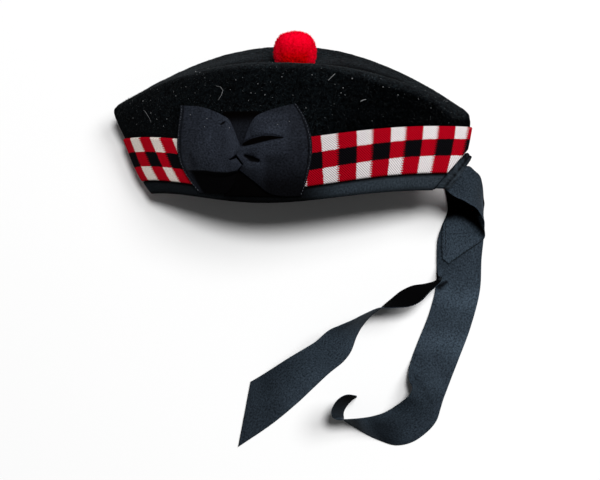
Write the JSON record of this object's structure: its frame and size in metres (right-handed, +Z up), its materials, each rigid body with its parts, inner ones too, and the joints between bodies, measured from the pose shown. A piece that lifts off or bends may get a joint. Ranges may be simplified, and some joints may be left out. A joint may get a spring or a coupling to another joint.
{
  "type": "glengarry cap",
  "caption": "Wool glengarry cap lying on its side, with a diced band, a toorie in the folded crown, a ribbon bow and ribbon tails laid out behind.",
  "frame": {"origin": "on the flattened right side of the cap, where it rests on the surface", "axes": "+X from the front of the cap to its back, +Y from its mouth to its crown, +Z up from the surface towards the side with the bow"},
  "size_m": [0.3207, 0.3574, 0.1078],
  "materials": {
    "felt": "milled wool, matt",
    "dicing": "woven wool tape, matt",
    "binding": "ribbed ribbon, satin",
    "toorie_wool": "wool pile, matt",
    "bow_ribbon": "ribbed ribbon, satin",
    "tail_ribbon": "ribbed ribbon, satin"
  },
  "bodies": {
    "root": {"crown": "felt", "diced_band": "dicing", "rim_binding": "binding", "vent_binding": "binding", "toorie": "toorie_wool", "bow_backing": "bow_ribbon", "bow_wing_front": "bow_ribbon", "bow_wing_back": "bow_ribbon", "tail_loop": "tail_ribbon", "tail_long": "tail_ribbon", "tail_twisted": "tail_ribbon"}
  },
  "joints": []
}
